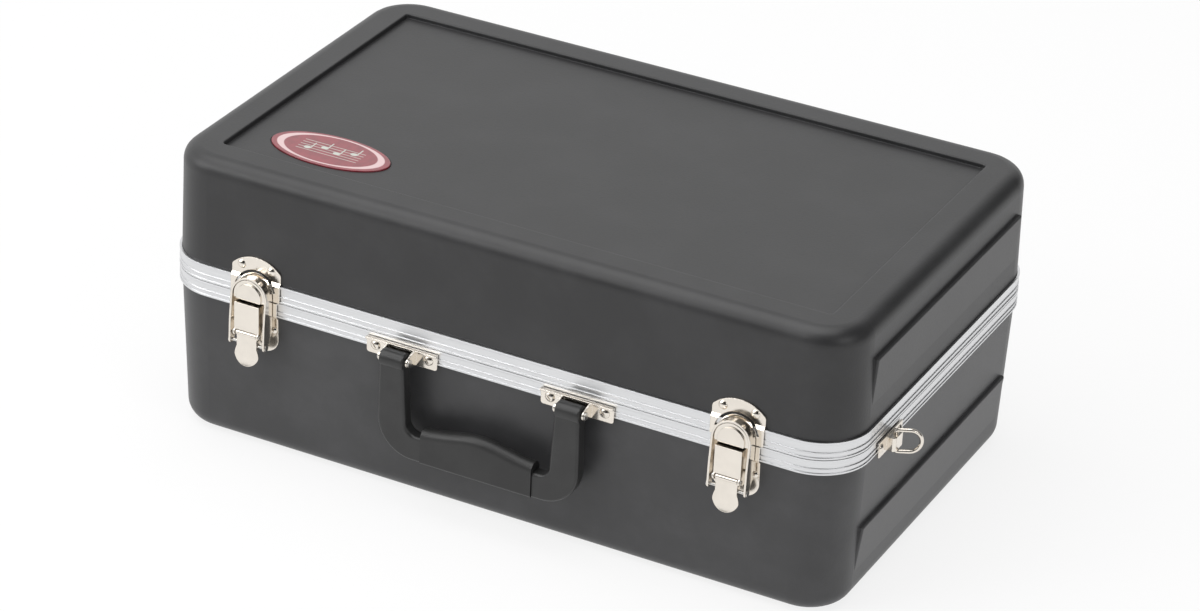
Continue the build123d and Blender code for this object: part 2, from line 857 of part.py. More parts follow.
def handle_bracket_at(x):
    """A flanged plate with two ears that hold one arm of the handle."""
    with BuildPart() as bracket:
        with BuildSketch(side_plane(front, x)) as outline_sketch:
            with Locations((0, bracket_top)):
                Rectangle(handle_plate_length, bracket_height, align=(Align.CENTER, Align.MAX))
            fillet(outline_sketch.vertices().group_by(Axis.Y)[0], radius=bracket_round)
        extrude(amount=handle_plate)
        with BuildSketch(side_plane(front, x)):
            with Locations((0, bracket_top)):
                Rectangle(handle_plate_length, ear_thickness, align=(Align.CENTER, Align.MAX))
        extrude(amount=handle_flange)
        for turn in (-1, 1):
            ear_place = section_plane(front, x + turn * (arm_half + ear_play + ear_thickness / 2))
            with BuildSketch(ear_place) as ear:
                with Locations((handle_plate / 2, bracket_top - bracket_height / 2)):
                    Rectangle(handle_plate, bracket_height)
                with Locations((handle_pin_depth, handle_pin_z)):
                    Circle(handle_ear_radius)
                make_hull(ear.edges())
                with Locations((handle_pin_depth, handle_pin_z)):
                    Circle(handle_pin_radius + running_gap, mode=Mode.SUBTRACT)
            extrude(amount=ear_thickness / 2, both=True)
        screw_place = side_plane(front, x)
        add(holes(screw_place, handle_screws_x, band_rivet_z, reach=2 * handle_plate), mode=Mode.SUBTRACT)
    return bracket.part


def slotted_screw(x):
    """One of the slotted dome screws of the handle brackets."""
    place = side_plane(front, x, seam + band_rivet_z, handle_plate)
    with BuildPart() as screw:
        add(rivet(place, band_grip(seam + band_rivet_z, handle_plate), screw_head, screw_rise))
        with BuildSketch(place.offset(screw_rise)):
            Rectangle(slot_width, 2 * screw_head, rotation=slot_turn)
        extrude(amount=-slot_depth, mode=Mode.SUBTRACT)
    return screw.part


# Handle brackets, with their pins and screws
handle_pin_half = arm_half + ear_play + ear_thickness + running_gap
handle_pin_place = (handle_pin_depth, handle_pin_z)
pins = []
screws = []
for side, turn in sides:
    x = turn * handle_x
    save(handle_bracket_at(x), f"{side}_handle_bracket")
    pins.append(
        cross_pin(
            section_plane(front, x), handle_pin_place, handle_pin_radius,
            handle_pin_half, handle_pin_head, handle_pin_rise,
        )
    )
    screws += [slotted_screw(x + place) for place in handle_screws_x]
save(group(pins), "handle_pins")
save(group(screws), "handle_bracket_screws")


def handle_arm(turn):
    """One arm of the handle frame: a roll round its pin, the arm and the corner down to the grip's end."""
    inner = turn * (handle_x - arm_half)
    outer = turn * (handle_x + arm_half)
    foot = turn * (handle_x + arm_half + arm_splay)
    arm_top = handle_pin_z + arm_thickness / 2
    shoulder_start = (inner - turn * arm_shoulder, frame_shoulder)
    shoulder_end = (inner - turn * arm_shoulder_run, frame_shoulder + arm_shoulder_rise)
    with BuildPart() as roll:
        with BuildSketch(section_plane(front, turn * handle_x)):
            with Locations(handle_pin_place):
                Circle(arm_roll)
        extrude(amount=arm_half, both=True)
        fillet(roll.edges().filter_by(GeomType.CIRCLE), radius=arm_roll_round)
    with BuildPart() as arm:
        with BuildSketch(side_plane(front, 0, depth=handle_pin_depth - arm_thickness / 2)):
            with BuildLine():
                Polyline(
                    (foot - turn * handle_corner, handle_low),
                    (turn * grip_half, handle_low),
                    (turn * grip_half, frame_shoulder),
                    shoulder_start,
                )
                TangentArc(shoulder_start, shoulder_end, tangent=(turn, 0))
                Polyline(
                    shoulder_end,
                    (inner, arm_top),
                    (outer, arm_top),
                    (foot, handle_low + handle_corner),
                )
                TangentArc(
                    (foot, handle_low + handle_corner), (foot - turn * handle_corner, handle_low),
                    tangent=(0, -1),
                )
            make_face()
        extrude(amount=arm_thickness)
        flat_faces = arm.faces().filter_by(Axis.Y)
        long_edges = flat_faces.edges().filter_by(lambda edge: abs(edge.center().X) > grip_half + core_gap)
        fillet(long_edges, radius=arm_round)
        add(roll.part)
    return arm.part


# Handle: a frame of two arms joined by a bar, and the grip moulded round the bar
with BuildPart() as handle_frame:
    for _, turn in sides:
        add(handle_arm(turn))
    with BuildSketch(section_plane(front, 0)):
        with Locations(handle_pin_place):
            Circle(arm_roll)
            Rectangle(arm_thickness, -handle_low, align=(Align.CENTER, Align.MAX))
    extrude(amount=2 * handle_x, both=True, mode=Mode.INTERSECT)
    with BuildSketch(section_plane(front, 0)):
        with Locations((handle_pin_depth, core_z)):
            Rectangle(core_thickness, core_height)
    extrude(amount=grip_half + arm_round, both=True)
    with BuildSketch(section_plane(front, 0)):
        with Locations(handle_pin_place):
            Circle(handle_pin_radius + running_gap)
    extrude(amount=2 * handle_x, both=True, mode=Mode.SUBTRACT)
save(handle_frame.part, "handle_frame")

grip_end = grip_half - core_gap
grip_waist = (grip_crown + grip_shoulder) / 2
with BuildPart() as handle_grip:
    with BuildSketch(side_plane(front, 0, depth=handle_pin_depth - grip_thickness / 2)):
        with BuildLine():
            Spline(
                (-grip_end, grip_shoulder),
                (-grip_end / 2, grip_waist),
                (0, grip_crown),
                (grip_end / 2, grip_waist),
                (grip_end, grip_shoulder),
            )
            Polyline(
                (grip_end, grip_shoulder),
                (grip_end, handle_low),
                (-grip_end, handle_low),
                (-grip_end, grip_shoulder),
            )
        make_face()
    extrude(amount=grip_thickness)
    flat_faces = handle_grip.faces().filter_by(Axis.Y)
    long_edges = flat_faces.edges().filter_by(lambda edge: abs(edge.center().X) < grip_end / 2)
    fillet(long_edges.group_by(Axis.Z)[-1], radius=grip_round)
    low_edges = handle_grip.edges().filter_by(Axis.X).group_by(Axis.Z)[0]
    fillet(low_edges, radius=arm_round)
    with BuildSketch(section_plane(front, 0)):
        with Locations((handle_pin_depth, core_z)):
            Rectangle(core_thickness + 2 * core_gap, core_height + 2 * core_gap)
    extrude(amount=grip_half, both=True, mode=Mode.SUBTRACT)
save(handle_grip.part, "handle_grip")

# Strap rings and their brackets
for side, turn in sides:
    out = ends[side]
    face = side_plane(out, ring_y)
    with BuildPart() as strap_bracket:
        with BuildSketch(face) as outline_sketch:
            with Locations((0, bracket_top)):
                Rectangle(strap_plate_length, bracket_height, align=(Align.CENTER, Align.MAX))
            fillet(outline_sketch.vertices().group_by(Axis.Y)[0], radius=bracket_round)
        extrude(amount=plate)
        with BuildSketch(section_plane(out, ring_y).offset(-bridge_half_width)):
            with Locations((0, ring_z)):
                Rectangle(bridge_depth, 2 * bridge_half, align=(Align.MIN, Align.CENTER))
        extrude(amount=2 * bridge_half_width)
        bridge_face = strap_bracket.faces().sort_by(Axis(face.origin, out))[-1]
        fillet(bridge_face.edges().filter_by(Axis.Z), radius=bridge_round)
        with BuildSketch(Plane.XY.offset(seam)):
            with Locations((turn * (half_length + ring_depth), ring_y)):
                Circle(ring_wire + ring_play)
        extrude(amount=2 * ring_z, mode=Mode.SUBTRACT)
        add(holes(face, strap_rivets_x, band_rivet_z, reach=2 * plate), mode=Mode.SUBTRACT)
    save(strap_bracket.part, f"{side}_strap_bracket")

    rest = radians(ring_rest_angle)
    reach = Vector(turn * cos(rest), sin(rest), 0)
    bar_place = side_point(out, ring_y, seam + ring_z) + out * ring_depth
    bend = ring_half - ring_corner
    with BuildPart() as strap_ring:
        with BuildLine(Plane(origin=bar_place, x_dir=reach, z_dir=reach.cross(up))) as wire:
            Line((0, -bend), (0, bend))
            CenterArc((ring_corner, bend), ring_corner, 180, -90)
            Line((ring_corner, ring_half), (ring_run, ring_half))
            CenterArc((ring_run, 0), ring_half, 90, -180)
            Line((ring_run, -ring_half), (ring_corner, -ring_half))
            CenterArc((ring_corner, -bend), ring_corner, 270, -90)
        with BuildSketch(Plane.XY.offset(seam + ring_z - bend)):
            with Locations((bar_place.X, bar_place.Y)):
                Circle(ring_wire)
        sweep(path=wire.wires()[0])
    save(strap_ring.part, f"{side}_strap_ring")

strap_rivet_places = [
    side_plane(ends[side], ring_y + y, seam + band_rivet_z, plate)
    for side, _ in sides
    for y in strap_rivets_x
]
strap_grip = band_grip(seam + band_rivet_z, plate)
save(group([rivet(place, strap_grip) for place in strap_rivet_places]), "strap_bracket_rivets")


def hinge_leaf_at(x, way, band, numbers, rivet_z):
    """One leaf of a hinge, below the seam where way is -1 and above it where way is 1."""
    pitch = hinge_width / knuckles
    stop_slant = degrees(asin((hinge_depth - leaf - stop_thickness / 2 - stop_gap) / stop_reach))
    with BuildPart() as hinge_leaf:
        with BuildSketch(side_plane(rear, x)):
            with Locations((0, way * (leaf_gap + band) / 2)):
                Rectangle(hinge_width, band - leaf_gap)
        extrude(amount=leaf)
        for number in numbers:
            with BuildSketch(section_plane(rear, x + (number - (knuckles - 1) / 2) * pitch)):
                with Locations((leaf / 2, way * leaf_gap)):
                    Rectangle(leaf, 2 * leaf_gap)
                with Locations((hinge_depth, 0)):
                    Circle(knuckle_radius)
                    if way > 0:
                        Rectangle(
                            stop_reach, stop_thickness, rotation=lid_opening - stop_slant - 90,
                            align=(Align.MIN, Align.CENTER),
                        )
                    Circle(hinge_pin_radius + running_gap, mode=Mode.SUBTRACT)
            extrude(amount=(pitch - knuckle_gap) / 2, both=True)
        rivet_place = side_plane(rear, x)
        add(holes(rivet_place, hinge_rivets_x, rivet_z, hinge_hole, 2 * leaf), mode=Mode.SUBTRACT)
    return hinge_leaf.part


# Hinges
base_rivets = []
lid_rivets = []
for side, turn in sides:
    x = turn * hinge_x
    save(hinge_leaf_at(x, -1, base_band, (0, 2, 4), base_hinge_rivet_z), f"{side}_hinge_base_leaf")
    save(hinge_leaf_at(x, 1, lid_band, (1, 3), lid_hinge_rivet_z), f"{side}_hinge_lid_leaf")
    hinge_pin = cross_pin(
        section_plane(rear, x), (hinge_depth, 0), hinge_pin_radius,
        hinge_width / 2, hinge_pin_head, hinge_pin_rise,
    )
    save(hinge_pin, f"{side}_hinge_pin")
    for place in hinge_rivets_x:
        base_place = side_plane(rear, x + place, seam + base_hinge_rivet_z, leaf)
        base_grip = band_grip(seam + base_hinge_rivet_z, leaf)
        base_rivets.append(rivet(base_place, base_grip, hinge_head, hinge_rise, hinge_shank))
        lid_place = side_plane(rear, x + place, seam + lid_hinge_rivet_z, leaf)
        lid_grip = leaf + lid_inset(seam + lid_hinge_rivet_z + hinge_shank + tail_lip) + wall
        lid_rivets.append(rivet(lid_place, lid_grip, hinge_head, hinge_rise, hinge_shank))
save(group(base_rivets), "hinge_base_rivets")
save(group(lid_rivets), "hinge_lid_rivets")
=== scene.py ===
# %% [markdown]
# A cornet case, dressed in Blender
# =================================
# The case comes from CAD as a fixed frame: two vacuum-formed shells in aluminium valances, with
# draw latches, a folding handle, strap rings and hinges. This lesson keeps every hard piece where
# CAD put it and gives it a finish made of nodes. The soft pieces inside, which CAD can only block
# out, are made again here as padded cloth. Lengths are metres, +Z is up and the front faces -Y.

# %% Load the frame
import json
import math

import bpy
from mathutils import Matrix, Vector


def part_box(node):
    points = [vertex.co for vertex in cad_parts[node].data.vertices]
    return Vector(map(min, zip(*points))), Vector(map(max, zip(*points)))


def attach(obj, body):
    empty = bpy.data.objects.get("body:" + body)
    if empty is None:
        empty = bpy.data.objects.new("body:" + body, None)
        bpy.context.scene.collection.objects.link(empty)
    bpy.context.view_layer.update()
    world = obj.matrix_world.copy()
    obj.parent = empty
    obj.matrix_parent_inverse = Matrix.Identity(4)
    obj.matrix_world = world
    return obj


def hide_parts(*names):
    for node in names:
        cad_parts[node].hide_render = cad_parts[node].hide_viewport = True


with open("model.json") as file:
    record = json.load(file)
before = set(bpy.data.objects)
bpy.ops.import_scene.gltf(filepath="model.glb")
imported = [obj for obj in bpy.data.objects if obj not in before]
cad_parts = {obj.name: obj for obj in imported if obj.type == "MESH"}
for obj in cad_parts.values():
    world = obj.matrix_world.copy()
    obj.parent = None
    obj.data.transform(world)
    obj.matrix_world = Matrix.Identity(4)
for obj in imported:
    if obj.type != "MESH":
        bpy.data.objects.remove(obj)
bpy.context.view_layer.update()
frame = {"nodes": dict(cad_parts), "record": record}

nodes = frame["nodes"]
scene = bpy.context.scene
scene.view_settings.view_transform = "Standard"

# %% [markdown]
# The camera stands in front of the right-hand corner and looks down on the lid through a long lens,
# so the far edges hardly shrink. It was placed by matching the case's corners and seam lines. A
# rotation is built here from three turns, about Z, X and the line of sight, because Euler angles in
# one fixed order would hide the small roll.

# %% Camera
camera_place = (1.00296, -2.01880, 1.30350)
camera_yaw = math.radians(26.397)
camera_pitch = math.radians(28.427)
camera_roll = math.radians(2.7155)
camera_lens = 125.11
sensor_width = 36
camera_reach = 60

bpy.ops.object.camera_add()
camera = bpy.context.object
camera.name = "studio_camera"
camera.matrix_world = (
    Matrix.Translation(camera_place)
    @ Matrix.Rotation(camera_yaw, 4, "Z")
    @ Matrix.Rotation(math.pi / 2 - camera_pitch, 4, "X")
    @ Matrix.Rotation(camera_roll, 4, "Z")
)
camera.data.lens = camera_lens
camera.data.sensor_width = sensor_width
camera.data.clip_end = camera_reach
scene.camera = camera
print("camera at", camera_place, "lens", camera_lens, "mm")

# %% [markdown]
# Shader maths reads best as ordinary arithmetic. A `Wire` wraps one output socket, and adding or
# multiplying wires drops the Math node that does it into the tree. Masks come from two more words:
# `rises` is a smooth step between two values, and `below` is 1 for all that is less than a limit.

# %% Wires


class Wire:
    """An output socket that can be added, subtracted, multiplied and divided."""

    def __init__(self, book, socket):
        self.book = book
        self.socket = socket

    def math(self, operation, *terms):
        return self.book.node("ShaderNodeMath", {"operation": operation}, dict(enumerate(terms)))

    def __add__(self, other):
        return self.math("ADD", self, other)

    def __sub__(self, other):
        return self.math("SUBTRACT", self, other)

    def __rsub__(self, other):
        return self.math("SUBTRACT", other, self)

    def __mul__(self, other):
        return self.math("MULTIPLY", self, other)

    def __truediv__(self, other):
        return self.math("DIVIDE", self, other)

    def __pow__(self, other):
        return self.math("POWER", self, other)

    def __abs__(self):
        return self.math("ABSOLUTE", self)

    __radd__ = __add__
    __rmul__ = __mul__

    def fraction(self):
        """What is left when the whole number below is taken off."""
        return self.math("FRACT", self)

    def most(self, other):
        """The larger of two values, which lays one mask over another."""
        return self.math("MAXIMUM", self, other)

    def rises(self, start, end):
        """0 at start, 1 at end and smooth between; start may be the higher one."""
        settings = {"interpolation_type": "SMOOTHSTEP"}
        sockets = {"Value": self, "From Min": start, "From Max": end}
        return self.book.node("ShaderNodeMapRange", settings, sockets)

    def below(self, limit, soft):
        """1 below a limit and 0 above it, with an edge that is soft on both sides."""
        return self.rises(limit + soft, limit - soft)


print("wires ready")

# %% [markdown]
# A `NodeBook` is a tree of nodes, of the world or of a material. Its `node` adds any node from its
# settings and the values or wires of its sockets. A `Finish` is the book of one material: its
# constants sit on the shader's own sockets, and it has a word for each thing that a surface gets,
# such as noise, tint or relief.

# %% Node books and finishes


class NodeBook:
    """A node tree that nodes are added to by one method."""

    def __init__(self, tree):
        self.tree = tree

    def node(self, kind, settings=None, sockets=None, out=0):
        made = self.tree.nodes.new(kind)
        for name, value in (settings or {}).items():
            setattr(made, name, value)
        for name, value in (sockets or {}).items():
            self.join(value, made.inputs[name])
        return Wire(self, made.outputs[out])

    def join(self, value, socket):
        """Link a wire to a socket, or set a plain value on it."""
        if isinstance(value, Wire):
            self.tree.links.new(value.socket, socket)
        else:
            socket.default_value = value

    def axes(self, vector):
        """The X, Y and Z of a vector."""
        made = self.node("ShaderNodeSeparateXYZ", None, {"Vector": vector}).socket.node
        return [Wire(self, outlet) for outlet in made.outputs]

    def rays(self):
        """1 for a ray from the camera, and 1 for a ray that a mirror or glass sends on."""
        path = self.node("ShaderNodeLightPath").socket.node
        seen, mirrored, refracted = (
            Wire(self, path.outputs[f"Is {kind} Ray"])
            for kind in ("Camera", "Glossy", "Transmission")
        )
        return seen, mirrored + refracted


class Finish(NodeBook):
    """One material with its Principled shader."""

    def __init__(self, name, colour, constants):
        self.material = bpy.data.materials.new(name)
        self.material.use_nodes = True
        super().__init__(self.material.node_tree)
        self.shader = self.tree.nodes["Principled BSDF"]
        self.colour = colour
        self.shader.inputs["Base Color"].default_value = (*colour, 1)
        for socket, value in constants.items():
            self.shader.inputs[socket].default_value = value
        self.place = self.node("ShaderNodeTexCoord", out="Object")

    def scaled(self, stretch, centre=(0, 0, 0)):
        """Object coordinates moved to a centre and stretched along each axis."""
        moved = self.node(
            "ShaderNodeVectorMath", {"operation": "SUBTRACT"}, {0: self.place, 1: centre}
        )
        return self.node("ShaderNodeMapping", None, {"Vector": moved, "Scale": stretch})

    def noise(self, scale, detail=2.0, roughness=0.5, place=None):
        sockets = {"Vector": place or self.place, "Scale": scale, "Detail": detail}
        sockets["Roughness"] = roughness
        return self.node("ShaderNodeTexNoise", None, sockets)

    def cells(self, scale, feature, place):
        sockets = {"Vector": place, "Scale": scale}
        return self.node("ShaderNodeTexVoronoi", {"feature": feature}, sockets)

    def blend(self, share, first, second):
        """A colour between two; a Mix node's colour sockets are found by number, not name."""
        sockets = {"Factor": share, 6: first, 7: second}
        return self.node("ShaderNodeMix", {"data_type": "RGBA"}, sockets, out=2)

    def paint(self, colour):
        self.join(colour, self.shader.inputs["Base Color"])
        return colour

    def tint(self, share, darker, lighter):
        """Lets the colour wander between two shares of itself."""
        low, high = ((*(value * part for value in self.colour), 1) for part in (darker, lighter))
        return self.paint(self.blend(share, low, high))

    def rough(self, value):
        self.join(value, self.shader.inputs["Roughness"])

    def bump(self, height, depth, strength, normal=None):
        """A normal tilted by a height, depth metres deep, over another normal if one is given."""
        sockets = {"Strength": strength, "Distance": depth, "Height": height}
        if normal is not None:
            sockets["Normal"] = normal
        return self.node("ShaderNodeBump", None, sockets)

    def relief(self, height, depth, strength, normal=None):
        self.join(self.bump(height, depth, strength, normal), self.shader.inputs["Normal"])

    def rounded_edges(self, radius):
        """A normal that turns smoothly across sharp edges."""
        return self.node("ShaderNodeBevel", {"samples": 6}, {"Radius": radius})


print("node books and finishes ready")

# %% [markdown]
# The room is white, but mirror-like rays see it dim in three directions: on the right, as where a
# black flag stands, in front, where the camera's end of the studio is unlit, and straight up. With
# nothing dark to reflect, polished metal and black plastic look like grey paint. In a world tree,
# Generated is the direction of the ray, so each dim part is a smooth step along one of its axes.

# %% Room
room_level = 0.44
flag_level, flag_span = 0.08, (0.40, -0.15)
front_level, front_span = 0.16, (-0.70, -0.15)
ceiling_level, ceiling_span = 0.40, (0.95, 0.60)


def dimmed(heading, span, level):
    """The level at the span's start, rising to full light at its end."""
    return level + heading.rises(*span) * (1 - level)


world = bpy.data.worlds.new("soft_room")
world.use_nodes = True
scene.world = world
room = NodeBook(world.node_tree)
to_camera, to_mirror = room.rays()
rightwards, backwards, upwards = room.axes(room.node("ShaderNodeTexCoord", out="Generated"))
in_mirror = (
    dimmed(rightwards, flag_span, flag_level)
    * dimmed(backwards, front_span, front_level)
    * dimmed(upwards, ceiling_span, ceiling_level)
)
level = to_camera + (1 - to_camera) * (to_mirror * in_mirror + (1 - to_mirror) * room_level)
background = world.node_tree.nodes["Background"]
background.inputs["Color"].default_value = (1, 1, 1, 1)
room.join(level, background.inputs["Strength"])
print("room level", room_level)

# %% [markdown]
# The floor is a wide sheet of pale paper. It is lit like anything else, so it keeps the case's
# shadow. To the camera and to mirror-like rays it also glows, which brings its open parts up to the
# white of a studio sweep without more light on the case.

# %% Floor
floor_reach = 16.0
glow_share = 0.82

bpy.ops.object.select_all(action="DESELECT")
bpy.ops.mesh.primitive_plane_add(size=floor_reach)
floor = bpy.context.object
floor.name = "studio_floor"
floor_paper = Finish("pale_paper", (0.86, 0.86, 0.86), {"Roughness": 1.0})
to_camera, to_mirror = floor_paper.rays()
lit_paper = Wire(floor_paper, floor_paper.shader.outputs[0])
glow = floor_paper.node("ShaderNodeEmission", None, {"Color": (1, 1, 1, 1), "Strength": 1.0})
paper = floor_paper.node(
    "ShaderNodeMixShader", None, {0: (to_camera + to_mirror) * glow_share, 1: lit_paper, 2: glow}
)
floor_paper.join(paper, floor_paper.tree.nodes["Material Output"].inputs["Surface"])
floor.data.materials.append(floor_paper.material)
print("floor", floor_reach, "m across")

# %% [markdown]
# Three large area lamps stand in for soft boxes: one overhead, one in front on the left, and a weak
# one on the right. Big lamps give soft shadow edges. Their sizes and powers are chosen so that a
# white card lying on the lid would render just about white. The fourth is a narrow strip over the
# camera. It adds hardly any light, but rounded edges and slanted folds of the metal mirror it.

# %% Lamps
lamp_target = Vector((0, 0, 0.09))
lamps = (
    ("overhead_box", (-0.45, -0.25, 2.6), (2.6, 2.8), 52),
    ("left_box", (-2.1, -1.7, 1.5), (1.8, 1.4), 26),
    ("right_box", (2.3, -0.9, 1.3), (1.4, 1.2), 10),
    ("front_strip", (-1.23, -2.15, 1.97), (1.1, 0.45), 6.5),
)
for lamp_name, lamp_place, lamp_size, lamp_power in lamps:
    bpy.ops.object.light_add(type="AREA", location=lamp_place)
    lamp = bpy.context.object
    lamp.name = lamp_name
    lamp.data.shape = "RECTANGLE"
    lamp.data.size, lamp.data.size_y = lamp_size
    lamp.data.energy = lamp_power
    aim = lamp_target - Vector(lamp_place)
    lamp.rotation_euler = aim.to_track_quat("-Z", "Y").to_euler()
print(len(lamps), "lamps")

# %% [markdown]
# Moulded pebble grain is rounded cells of two sizes. A Voronoi node makes such cells, and bending
# its coordinates with a little noise first keeps them from looking like a net. Under the grain lies
# a slow wave, for the way a drawn sheet is never dead flat, over a Bevel node, which rounds the
# edges of the sheet in the shading.

# %% Pebble grain
rim_round = 0.0009
bend_scale = 0.35
finer_cells = 2.3
large_share = 0.7
wave_scale = 9.0


def pebble_grain(finish, cell, depth, wave=0.0):
    """Give a finish a relief of cells of one size in metres, and return its height."""
    bend = {"Vector": finish.place, "Scale": bend_scale / cell, "Detail": 1.0}
    bent = finish.node(
        "ShaderNodeVectorMath",
        {"operation": "MULTIPLY_ADD"},
        {
            0: finish.node("ShaderNodeTexNoise", None, bend, out="Color"),
            1: (cell, cell, cell),
            2: finish.place,
        },
    )
    large = finish.cells(1 / cell, "SMOOTH_F1", bent)
    small = finish.cells(finer_cells / cell, "F1", bent)
    height = (1 - large * large) * large_share + (1 - small * small) * (1 - large_share)
    under = None
    if wave:
        swell = finish.noise(wave_scale, detail=1.0)
        under = finish.bump(swell, wave, 1.0, finish.rounded_edges(rim_round))
    finish.relief(height, depth, 0.55, under)
    return height


print("pebble grain ready")

# %% [markdown]
# The shells are black ABS sheet, drawn hot over a grained mould. Nearly all the grey that the eye
# sees is reflection, so the colour itself is very dark, with faint scuffs in it. Below the seam
# the colour is made lighter as painted light, standing in for the brighter reflection that the base
# gets from the floor. One finish serves both, because the height of a point tells which side of
# the seam it is on.

# %% Shell plastic
seam_height = 0.1068
seam_blur = 0.003
painted_base_lift = 0.85

shell_plastic = Finish("black_abs", (0.023, 0.023, 0.024), {"Roughness": 0.40, "IOR": 1.5})
grain = pebble_grain(shell_plastic, cell=0.0013, depth=0.00010, wave=0.0006)
scuffs = shell_plastic.noise(26.0, detail=5.0, roughness=0.6)
lid_colour = shell_plastic.tint(scuffs.rises(0.35, 0.75), darker=0.9, lighter=1.25)
height = shell_plastic.axes(shell_plastic.place)[2]
# Painted light: the base below the seam is lightened in place of its brighter floor reflection.
painted_base_lightening = 1 + height.below(seam_height, seam_blur) * painted_base_lift
colour_with_painted_base_light = shell_plastic.node(
    "ShaderNodeVectorMath", {"operation": "SCALE"}, {0: lid_colour, "Scale": painted_base_lightening}
)
shell_plastic.paint(colour_with_painted_base_light)
shell_plastic.rough(0.36 + scuffs * 0.07 + (1 - grain) * 0.06)
print("shell plastic ready")

# %% [markdown]
# The valances are extruded aluminium. Extrusion leaves hair lines along the strip, so the noise is
# squeezed along Z, which is across the strip everywhere round the case. A Bevel node rounds the
# edges of its ribs in the shading, where they catch a thin bright line.

# %% Valance aluminium
noise_span = (0.3, 0.7)
hair_stretch = (14, 14, 4200)
rib_round = 0.00035

valance_aluminium = Finish(
    "satin_aluminium", (0.74, 0.745, 0.755), {"Metallic": 1.0, "Roughness": 0.28}
)
hair_place = valance_aluminium.scaled(hair_stretch)
hair_lines = valance_aluminium.noise(1.0, detail=3.0, place=hair_place)
dull_spots = valance_aluminium.noise(55.0, detail=4.0)
valance_aluminium.tint(hair_lines.rises(*noise_span), darker=0.93, lighter=1.03)
valance_aluminium.rough(0.24 + hair_lines * 0.08 + dull_spots * 0.06)
valance_aluminium.relief(hair_lines, 0.00002, 0.5, valance_aluminium.rounded_edges(rib_round))
print("valance aluminium ready")

# %% [markdown]
# The latches, plates and rings are pressed steel with bright nickel over it: warmer than chrome,
# and never a perfect mirror, because the sheet under the plating has a slight orange-peel wave.
# Their cut edges are rounded in the shading too, as tumbling rounds them before plating. Pins are
# turned steel, duller and greyer.

# %% Nickel and pins
edge_round = 0.00045


def plated(name, colour, roughness, peel):
    """A bright metal with smears and an orange-peel wave of a depth in metres."""
    finish = Finish(name, colour, {"Metallic": 1.0, "Roughness": roughness})
    skin = finish.noise(260.0, detail=2.0)
    smears = finish.noise(48.0, detail=5.0, roughness=0.65)
    finish.tint(smears.rises(*noise_span), darker=0.94, lighter=1.02)
    finish.rough(roughness * (0.7 + smears))
    finish.relief(skin, peel, 0.6, finish.rounded_edges(edge_round))
    return finish


nickel = plated("bright_nickel", (0.83, 0.775, 0.70), roughness=0.13, peel=0.00004)
steel_pins = plated("turned_steel", (0.66, 0.645, 0.62), roughness=0.24, peel=0.00003)
print("nickel and steel ready")

# %% [markdown]
# The handle is moulded in a tougher plastic with a satin skin, and the grip is softer and duller,
# with a finer grain that shines a little where the hand rubs it.

# %% Handle plastics
handle_round = 0.0006

handle_plastic = Finish(
    "satin_handle_plastic", (0.022, 0.022, 0.022), {"Roughness": 0.36, "IOR": 1.5}
)
handle_flow = handle_plastic.noise(70.0, detail=4.0)
handle_skin = handle_plastic.noise(900.0, detail=2.0)
handle_plastic.tint(handle_flow.rises(*noise_span), darker=0.85, lighter=1.2)
handle_plastic.rough(0.32 + handle_flow * 0.12)
handle_plastic.relief(handle_skin, 0.00004, 0.5, handle_plastic.rounded_edges(handle_round))

grip_plastic = Finish(
    "soft_grip_plastic", (0.020, 0.020, 0.020), {"Roughness": 0.45, "IOR": 1.48}
)
rubbed = grip_plastic.noise(42.0, detail=4.0)
pebble_grain(grip_plastic, cell=0.0008, depth=0.00005)
grip_plastic.tint(rubbed.rises(*noise_span), darker=0.85, lighter=1.25)
grip_plastic.rough(0.36 + rubbed * 0.14)
print("handle plastics ready")

# %% [markdown]
# The badge is a domed plate of clear-coated enamel. Its colours are masks worked out from where a
# point lies on the plate: distances are divided by the half axes, so that 1 is the rim all round. A
# pale ring follows the rim and swells at both ends. The middle holds five stave lines, which come
# from one line that repeats at each whole pitch and is cut off above and below.

# %% Badge ring and stave
badge_low, badge_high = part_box("badge")
stave_pitch = 0.0030
stave_line = 0.00045
stave_half = 0.021
enamel_red = (0.235, 0.030, 0.042)
soft_edge = 0.00025


def centre_of(low, high):
    return tuple((first + last) / 2 for first, last in zip(low, high))


badge_half = [(high - low) / 2 for low, high in zip(badge_low, badge_high)]
badge_enamel = Finish(
    "badge_enamel", enamel_red, {"Roughness": 0.30, "Coat Weight": 0.6, "Coat Roughness": 0.12}
)
on_plate = badge_enamel.scaled((1, 1, 1), centre=centre_of(badge_low, badge_high))
along, across = badge_enamel.axes(on_plate)[:2]
part_along = along / badge_half[0]
part_across = across / badge_half[1]
rim = (part_along * part_along + part_across * part_across) ** 0.5
ring_inside = 0.845 - 0.10 * (part_along * part_along)
pale_ring = (rim - ring_inside).rises(-0.012, 0.012) * rim.below(0.905, 0.01)
line_distance = abs((across / stave_pitch + 0.5).fraction() - 0.5) * stave_pitch
stave = line_distance.below(stave_line / 2, soft_edge)
stave = stave * abs(across).below(2.4 * stave_pitch, 0.05 * stave_pitch)
stave = stave * abs(along).below(stave_half, soft_edge)
print("badge", [round(2 * half * 1000, 1) for half in badge_half[:2]], "mm")

# %% [markdown]
# Four notes stand on the stave, which is a plain ornament for anything musical. A note is an oval
# head and an upright stem, each a mask, and the larger of all the masks is the whole drawing.

# %% Badge notes
note_size = (0.0024, 0.0017)
notes = ((-0.0145, -1.0), (-0.0050, 0.5), (0.0050, -0.5), (0.0145, 1.0))
stem_height = 0.0075
stem_half = 0.00040

marks = stave
for note_x, note_line in notes:
    note_y = note_line * stave_pitch
    head_along = (along - note_x) / note_size[0]
    head_across = (across - note_y) / note_size[1]
    head = (head_along * head_along + head_across * head_across).below(1.0, 0.15)
    stem_x = note_x + note_size[0] * 0.85
    stem_y = note_y + stem_height / 2
    stem = abs(along - stem_x).below(stem_half, soft_edge)
    stem = stem * abs(across - stem_y).below(stem_height / 2, soft_edge)
    marks = marks.most(head.most(stem))
print(len(notes), "notes on the badge")

